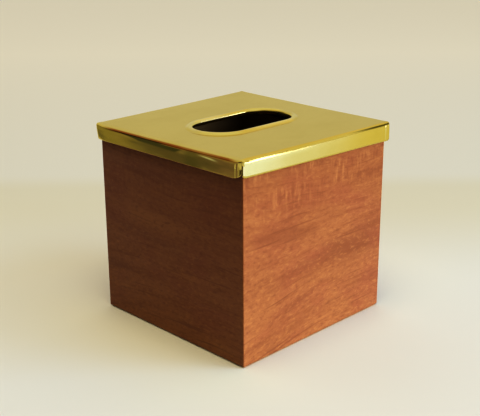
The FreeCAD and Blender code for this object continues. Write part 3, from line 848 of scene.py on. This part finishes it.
def camera():
    """The photograph's viewing place and angle."""
    yaw, pitch, roll = (math.radians(angle) for angle in (YAW, PITCH, ROLL))
    ahead = Vector((math.sin(yaw) * math.cos(pitch), math.cos(yaw) * math.cos(pitch), -math.sin(pitch)))
    side = Vector((math.cos(yaw), -math.sin(yaw), 0.0))
    top = side.cross(ahead)
    across = side * math.cos(roll) + top * math.sin(roll)
    upward = top * math.cos(roll) - side * math.sin(roll)
    data = bpy.data.cameras.new("camera")
    data.sensor_width = SENSOR
    data.lens = LENS
    made = add_object("camera", data)
    turned = Matrix((across, upward, -ahead)).transposed().to_4x4()
    made.matrix_world = Matrix.Translation(CAMERA_PLACE) @ turned
    bpy.context.scene.camera = made


# The floor: its size, the plan direction that leads away behind the box, and its colour by the box
FLOOR_SIZE = 60.0
BEHIND_DIRECTION = (0.701, 0.713)
FLOOR_COLOUR = (0.722, 0.702, 0.632)
# Where its colours set in behind the box and where they are full, in metres, and whether softly
FLOOR_TURNS = (
    (0.02, 0.24, True, (0.696, 0.648, 0.507)),
    (0.28, 0.34, True, (0.722, 0.684, 0.576)),
    (0.34, 1.1, False, (0.86, 0.794, 0.642)),
)


def floor():
    """A pale table that turns softly into the paler wall colour far behind the box."""
    made, tree, shader = new_material("pale_floor")
    parts = split(surface_place(tree))
    along_x, along_y = BEHIND_DIRECTION
    behind = maths("MULTIPLY_ADD", parts["X"], along_x, product(parts["Y"], along_y))
    colour = FLOOR_COLOUR
    for start, full, smooth, turned in FLOOR_TURNS:
        colour = mixed(spread(behind, start, full, smooth=smooth), colour, turned)
    tree.links.new(colour, shader.inputs["Base Color"])
    shader.inputs["Roughness"].default_value = 0.9
    shader.inputs["Specular IOR Level"].default_value = 0.0
    bpy.ops.mesh.primitive_plane_add(size=FLOOR_SIZE)
    plane = bpy.context.object
    plane.name = "floor"
    plane.data.materials.append(made)


def glow_material(name, look):
    """A material that only shines, in one colour or in those that a function of its tree makes."""
    made = bpy.data.materials.new(name)
    made.use_nodes = True
    tree = made.node_tree
    tree.nodes.clear()
    colour = opaque(look(tree) if callable(look) else look)
    shine = add_node(tree, "Emission", {"Color": colour, "Strength": 1.0})
    add_node(tree, "OutputMaterial", {"Surface": shine.outputs[0]})
    return made


def light_only(light, pieces):
    """Lets a light or a card reach only the given pieces."""
    lit = bpy.data.collections.new(light.name)
    for piece in pieces:
        lit.objects.link(piece)
    light.light_linking.receiver_collection = lit


def mirror_card(name, corners, look):
    """A studio card that only the lid mirrors; its corners come in pairs, left and right."""
    mesh = bpy.data.meshes.new(name)
    faces = [(k, k + 1, k + 3, k + 2) for k in range(0, len(corners) - 2, 2)]
    mesh.from_pydata(corners, [], faces)
    mesh.materials.append(glow_material(name, look))
    card = add_object(name, mesh)
    card.visible_camera = False
    card.visible_diffuse = False
    card.visible_shadow = False
    card.visible_transmission = False
    light_only(card, [bpy.data.objects["brass_lid"]])


# Upright strip cards: how far they stand off the folded edge, the left one's start past the near corner,
# and their ends as (along, height)
STRIP_GAP = 8.0 * MM
STRIP_START = 5.0 * MM
LEFT_STRIP = ((STRIP_GAP + STRIP_START - LID_HALF, 118.0 * MM), (88.0 * MM, 145.5 * MM))
RIGHT_STRIP = ((-20.0 * MM, 137.5 * MM), (95.0 * MM, 155.0 * MM))
# Cards that lie this high over the floor, from one (X, Y) to another, in metres
CARD_HEIGHT = 2.0 * MM
RIGHT_CARD = ((0.17, -2.6), (2.2, -0.25))
FRONT_CARD = ((-0.16, -0.6), (0.17, -0.38))
DARK_CARD = ((-0.6, -0.6), (-0.2, -0.06))
OLIVE_CARD = ((-0.75, -0.06), (-0.25, 0.3))
FLOOR_GLARE = ((0.62, -0.84, 0.003), (0.69, -0.77, 0.003), (3.84, -4.67, 0.003), (4.25, -4.28, 0.003))
# The far window pane: its distance in metres, the shares of that along X at its left edge and, low down
# and high up, at its right one, and the angle up to its top in degrees
PANE_DISTANCE = 10.0
PANE_LEFT_SHARE, PANE_RIGHT_SHARES = 0.65, (0.711, 0.688)
PANE_HIGHEST = 22
PANE_STEPS = 6

# What the left strip shows, as linear light: places along it (Y) and heights, in metres
NEAR_OLIVE, FAR_OLIVE = (0.235, 0.207, 0.172), (0.44, 0.41, 0.25)
FAR_TURN = (0.0, 0.075)
NEAR_END, NEAR_TURN = (0.315, 0.25, 0.235), (-0.03, -0.052)
DARK_CLOUD, PALE_CLOUD = (0.15, 0.14, 0.12), (0.5, 0.45, 0.34)
STRIP_CLOUDS, STRIP_SHIFT = (30.0, 28.0, 150.0), (0.3, 0.0, 0.0)
WEDGE_COLOUR, WEDGE_BLUR = (0.13, 0.135, 0.11), 0.0008
WEDGE_TURN, WEDGE_HEIGHTS = (-0.004, 0.04), (0.1318, 0.1328)
WEDGE_FAR_TURN, WEDGE_FAR_RISE = (0.034, 0.064), 0.0085
WEDGE_NEAR_TURN, WEDGE_NEAR_RISE = (-0.002, -0.014), 0.0065
BAND_COLOUR, BAND_HEIGHTS, BAND_TURN = (0.42, 0.32, 0.23), (0.1366, 0.1378), (0.016, 0.004)
SHADE_COLOUR, SHADE_SHARE = (0.165, 0.165, 0.11), 0.6
SHADE_MIDDLE, SHADE_REACHES = -0.0195, (0.011, 0.002)
STREAK_COLOUR, STREAK_HEIGHT, STREAK_SLOPE = (0.68, 0.76, 1.0), 0.1385, 0.117
STREAK_WIDTHS, STREAK_MIDDLE, STREAK_REACHES = (0.0014, 0.0002), -0.0345, (0.011, 0.001)
TOP_COLOUR, TOP_HEIGHTS = (0.7, 0.66, 0.5), (0.142, 0.143)


def left_strip_colours(tree):
    """A dim room: olive low down, a dark wedge above, a pale streak, and a bright line along the top."""
    place = surface_place(tree)
    parts = split(place)
    along, height = parts["Y"], parts["Z"]
    cloud = grain_noise(place, STRIP_CLOUDS, 3.0, 0.5, STRIP_SHIFT)
    olive = mixed(spread(along, *FAR_TURN), NEAR_OLIVE, FAR_OLIVE)
    olive = mixed(spread(along, *NEAR_TURN), olive, NEAR_END)
    olive = mixed(spread(cloud, 0.5, 0.7, 0.0, 0.45), olive, DARK_CLOUD)
    olive = mixed(spread(cloud, 0.48, 0.32, 0.0, 0.5), olive, PALE_CLOUD)

    wedge = spread(along, *WEDGE_TURN, *WEDGE_HEIGHTS, smooth=False)
    wedge = maths("ADD", wedge, spread(along, *WEDGE_FAR_TURN, 0.0, WEDGE_FAR_RISE, smooth=False))
    wedge = maths("MULTIPLY_ADD", spread(along, *WEDGE_NEAR_TURN), WEDGE_NEAR_RISE, wedge)
    share = spread(maths("SUBTRACT", height, wedge), -WEDGE_BLUR, WEDGE_BLUR)
    body = mixed(share, olive, WEDGE_COLOUR)

    band = product(spread(height, *BAND_HEIGHTS), spread(along, *BAND_TURN))
    body = mixed(band, body, BAND_COLOUR)
    shade = spread(distance_from(along, SHADE_MIDDLE), *SHADE_REACHES, 0.0, SHADE_SHARE)
    body = mixed(shade, body, SHADE_COLOUR)
    slant = maths("MULTIPLY_ADD", along, STREAK_SLOPE, STREAK_HEIGHT)
    streak = product(
        spread(distance_from(height, slant), *STREAK_WIDTHS),
        spread(distance_from(along, STREAK_MIDDLE), *STREAK_REACHES),
    )
    body = mixed(streak, body, STREAK_COLOUR)
    return mixed(spread(height, *TOP_HEIGHTS), body, TOP_COLOUR)


# What the other cards show, and where, in metres
CREAM, OLIVE, OLIVE_TURN = (0.9, 0.88, 0.75), (0.25, 0.24, 0.1), (0.04, 0.07)
COOL_WHITE, SOFT_WHITE, WHITE_TURN = (1.15, 1.38, 2.9), (1.03, 1.13, 1.66), (0.25, 0.33)
WARM_YELLOW, YELLOW_TURN = (0.935, 0.92, 0.66), (0.34, 0.46)
SLANT_START, SLANT_SHARE = -0.382, 1.15
GLARE_COLOUR, FADED_GLARE, GLARE_TURN = (3.5, 3.8, 7.0), (0.95, 0.95, 0.9), (6.66, 6.86)
FRONT_CARD_COLOUR = (1.2, 1.4, 3.2)
DARK_CARD_COLOUR = (0.12, 0.1, 0.08)
OLIVE_CARD_COLOUR = (0.5, 0.47, 0.4)


def right_strip_colours(tree):
    """Pale warm cream with an olive end."""
    parts = split(surface_place(tree))
    return mixed(spread(parts["X"], *OLIVE_TURN), CREAM, OLIVE)


def right_card_colours(tree):
    """White in line with the box's front corner, warm yellow further along."""
    parts = split(surface_place(tree))
    beyond = maths("SUBTRACT", parts["Y"], SLANT_START)
    along = maths("MULTIPLY_ADD", beyond, SLANT_SHARE, parts["X"])
    white = mixed(spread(along, *WHITE_TURN), COOL_WHITE, SOFT_WHITE)
    return mixed(spread(along, *YELLOW_TURN), white, WARM_YELLOW)


def pane_colours(tree):
    """A bright far window pane that fades to its left."""
    parts = split(surface_place(tree))
    return mixed(spread(parts["X"], *GLARE_TURN), FADED_GLARE, GLARE_COLOUR)


def upright(ends, across, along_x):
    """The corners of an upright card, from its ends as (distance along, height)."""
    low, high = ends
    spots = [(low[0], low[1]), (high[0], low[1]), (low[0], high[1]), (high[0], high[1])]
    return [(run, across, up) if along_x else (across, run, up) for run, up in spots]


def lying(ends):
    """The corners of a card on the floor."""
    low, high = ends
    return [(x, y, CARD_HEIGHT) for y in (low[1], high[1]) for x in (low[0], high[0])]


def far_pane():
    """A tall, narrow, arched pane: at each height its edges keep a share of the distance along X."""
    corners = []
    for k in range(PANE_STEPS + 1):
        climb = math.radians(PANE_HIGHEST) * k / PANE_STEPS
        right = PANE_RIGHT_SHARES[0] + (PANE_RIGHT_SHARES[1] - PANE_RIGHT_SHARES[0]) * k / PANE_STEPS
        for across in (PANE_LEFT_SHARE, right):
            ahead = math.sqrt(math.cos(climb) ** 2 - across**2)
            corners.append(tuple(PANE_DISTANCE * part for part in (across, -ahead, math.sin(climb))))
    return corners


def cards():
    """Cards that the lid mirrors."""
    edge = LID_HALF + STRIP_GAP
    mirror_card("left_strip", upright(LEFT_STRIP, -edge, False), left_strip_colours)
    mirror_card("right_strip", upright(RIGHT_STRIP, -edge, True), right_strip_colours)
    mirror_card("right_card", lying(RIGHT_CARD), right_card_colours)
    mirror_card("front_card", lying(FRONT_CARD), FRONT_CARD_COLOUR)
    mirror_card("dark_card", lying(DARK_CARD), DARK_CARD_COLOUR)
    mirror_card("olive_card", lying(OLIVE_CARD), OLIVE_CARD_COLOUR)
    mirror_card("floor_glare", FLOOR_GLARE, GLARE_COLOUR)
    mirror_card("window_pane", far_pane(), pane_colours)


# Lamps: place and aim in metres, width and height in metres, power in watts, colour as linear light
Lamp = namedtuple("Lamp", "name place aim width height power colour")
DAY_BLUE = (0.28, 0.5, 1.0)
WINDOW = Lamp("window", (0.62, -1.2, 0.96), (0.0, 0.0, 0.1), 1.0, 0.9, 8.0, DAY_BLUE)
CEILING = Lamp("ceiling", (-0.25, -0.22, 1.15), (-0.25, -0.22, 0.0), 0.6, 0.6, 4.5, (1.0, 0.92, 0.66))
BOX_LAMP = Lamp("lamp", (0.1, -1.15, 0.25), (0.0, 0.0, 0.06), 0.9, 0.6, 15.5, (0.98, 0.96, 0.78))
# The gap fill stands this far behind the front board's face, this high over the floor
GAP_DEPTH, GAP_HEIGHT = 1.0 * MM, 0.5 * MM
GAP_PLACE = (0.0, GAP_DEPTH - WOOD_HALF, GAP_HEIGHT)
FLOOR_FILLS = (
    Lamp("front_fill", (0.0, -0.085, 0.05), (0.0, -0.085, 0.0), 0.14, 0.02, 0.005, (0.5, 0.95, 1.0)),
    Lamp("left_fill", (-0.092, -0.01, 0.06), (-0.092, -0.01, 0.0), 0.03, 0.15, 0.0075, (1.0, 0.84, 0.12)),
    Lamp("right_fill", (0.116, -0.03, 0.08), (0.116, -0.03, 0.0), 0.04, 0.08, 0.0085, (1.0, 0.93, 0.42)),
    Lamp("gap_fill", GAP_PLACE, (*GAP_PLACE[:2], 0.0), 0.138, 0.0018, 0.0004, (1.0, 0.62, 0.15)),
)
# The far daylight: its direction, the angle that it fills in degrees, and its strength
DAYLIGHT_DIRECTION = (-0.9, 1.1, -0.98)
DAYLIGHT_ANGLE, DAYLIGHT_STRENGTH = 24, 0.7


def place_light(name, data, place, direction):
    """Puts a light where neither the camera nor a reflection sees it."""
    made = add_object(name, data)
    made.location = place
    made.rotation_euler = direction.to_track_quat("-Z", "Y").to_euler()
    made.visible_camera = False
    made.visible_glossy = False
    return made


def area_light(lamp):
    """A soft rectangular light aimed at a point."""
    data = bpy.data.lights.new(lamp.name, "AREA")
    data.shape = "RECTANGLE"
    data.size, data.size_y = lamp.width, lamp.height
    data.energy = lamp.power
    data.color = lamp.colour
    return place_light(lamp.name, data, lamp.place, Vector(lamp.aim) - Vector(lamp.place))


def daylight():
    """Soft cool light from far away in front, on the right."""
    data = bpy.data.lights.new("daylight", "SUN")
    data.angle = math.radians(DAYLIGHT_ANGLE)
    data.energy = DAYLIGHT_STRENGTH
    data.color = DAY_BLUE
    place_light("daylight", data, (0.0, 0.0, 0.0), Vector(DAYLIGHT_DIRECTION))


def lights():
    """A cool window, far daylight, a warm ceiling light, a lamp for the box and weak floor fills."""
    area_light(WINDOW)
    daylight()
    area_light(CEILING)
    pieces = [piece for piece in bpy.data.objects if piece.type == "MESH" and piece.name != "floor"]
    light_only(area_light(BOX_LAMP), pieces)
    for fill in FLOOR_FILLS:
        light_only(area_light(fill), [bpy.data.objects["floor"]])


# The room in each direction, as linear light: low down and a little higher, to the sides, in front and
# behind, its ceiling, and its warm and its dark part on the left
ROOM_LOWEST, ROOM_LOW, ROOM_LOW_TURN = (0.76, 0.73, 0.55), (0.79, 0.762, 0.665), (0.26, 0.37)
ROOM_SIDES, ROOM_MIDDLE_TURN = (0.92, 0.84, 0.62), (0.4, 0.58)
ROOM_FRONT, ROOM_FRONT_TURN = (0.95, 0.95, 0.95), (0.0, 0.5)
ROOM_BACK, ROOM_BACK_TURN = (0.82, 0.82, 0.92), (0.3, 0.65)
ROOM_CEILING, ROOM_CEILING_TURN = (0.93, 0.95, 0.98), (0.7, 0.9)
ROOM_LEFTWARD = (-0.94, -0.1, 0.0)
ROOM_WARM, ROOM_WARM_TURN, ROOM_WARM_SHARE = (0.8, 0.7, 0.36), (0.05, 0.6), 0.6
ROOM_DARK, ROOM_DARK_TURN, ROOM_DARK_HEIGHTS = (0.15, 0.13, 0.09), (0.2, 0.75), (0.55, 0.3)


def surroundings():
    """A warm, pale room as the world's light."""
    world = bpy.data.worlds.new("room")
    world.use_nodes = True
    tree = world.node_tree
    tree.nodes.clear()
    ray = add_node(tree, "TexCoord").outputs["Generated"]
    parts = split(ray)
    up = parts["Z"]
    low = mixed(spread(up, *ROOM_LOW_TURN), ROOM_LOWEST, ROOM_LOW)
    front = spread(maths("MULTIPLY", parts["Y"], -1.0), *ROOM_FRONT_TURN)
    middle = mixed(front, ROOM_SIDES, ROOM_FRONT)
    middle = mixed(spread(parts["Y"], *ROOM_BACK_TURN), middle, ROOM_BACK)
    colour = mixed(spread(up, *ROOM_MIDDLE_TURN), low, middle)
    colour = mixed(spread(up, *ROOM_CEILING_TURN), colour, ROOM_CEILING)
    left = joined("VectorMath", {0: ray, 1: ROOM_LEFTWARD}, operation="DOT_PRODUCT")
    left = left.outputs["Value"]
    warm = spread(left, *ROOM_WARM_TURN, 0.0, ROOM_WARM_SHARE)
    colour = mixed(warm, colour, ROOM_WARM)
    dark = product(spread(left, *ROOM_DARK_TURN), spread(up, *ROOM_DARK_HEIGHTS))
    colour = mixed(dark, colour, ROOM_DARK)
    shine = add_node(tree, "Background", {"Color": colour, "Strength": 1.0})
    add_node(tree, "OutputWorld", {"Surface": shine.outputs[0]})
    bpy.context.scene.world = world


def finishes():
    """Gives every carried-over solid its material."""
    for side in BOARDS:
        wear(f"{side}_wall", mahogany(side))
    pale = plain_wood("pale_wood", (0.6, 0.45, 0.28), (0.48, 0.33, 0.18), 0.6, 1.0)
    for spline in ("front_right", "right_back", "back_left", "left_front"):
        wear(f"spline_{spline}", pale)
    wear("base_panel", plain_wood("plywood", (0.3, 0.15, 0.08), (0.17, 0.08, 0.04), 0.55, 3.0))
    dark = plain_wood("dark_wood", (0.12, 0.06, 0.035), (0.06, 0.03, 0.018), 0.5, 5.0)
    for side in BOARDS:
        wear(f"{side}_cleat", dark)
    wear("base_pins", steel())


def soft_discs():
    """Felt feet under the base, and felt bumpers that fill the room under the warped lid."""
    material = felt()
    for corner in CORNERS:
        felt_disc(f"felt_foot_{corner}", f"foot_{corner}", "box", material)
    for corner in CORNERS:
        node = f"bumper_{corner}"
        low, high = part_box(node)
        room = LID_TOP - SHEET + lid_warp((low.x + high.x) / 2, (low.y + high.y) / 2) - low.z
        felt_disc(f"felt_{node}", node, "box", material, share_between(room, 0.0, high.z - low.z))


camera()
finishes()
build_lid(brass())
soft_discs()
floor()
cards()
lights()
surroundings()
bpy.context.scene.view_settings.view_transform = "Standard"
bpy.context.scene.view_settings.gamma = 0.65
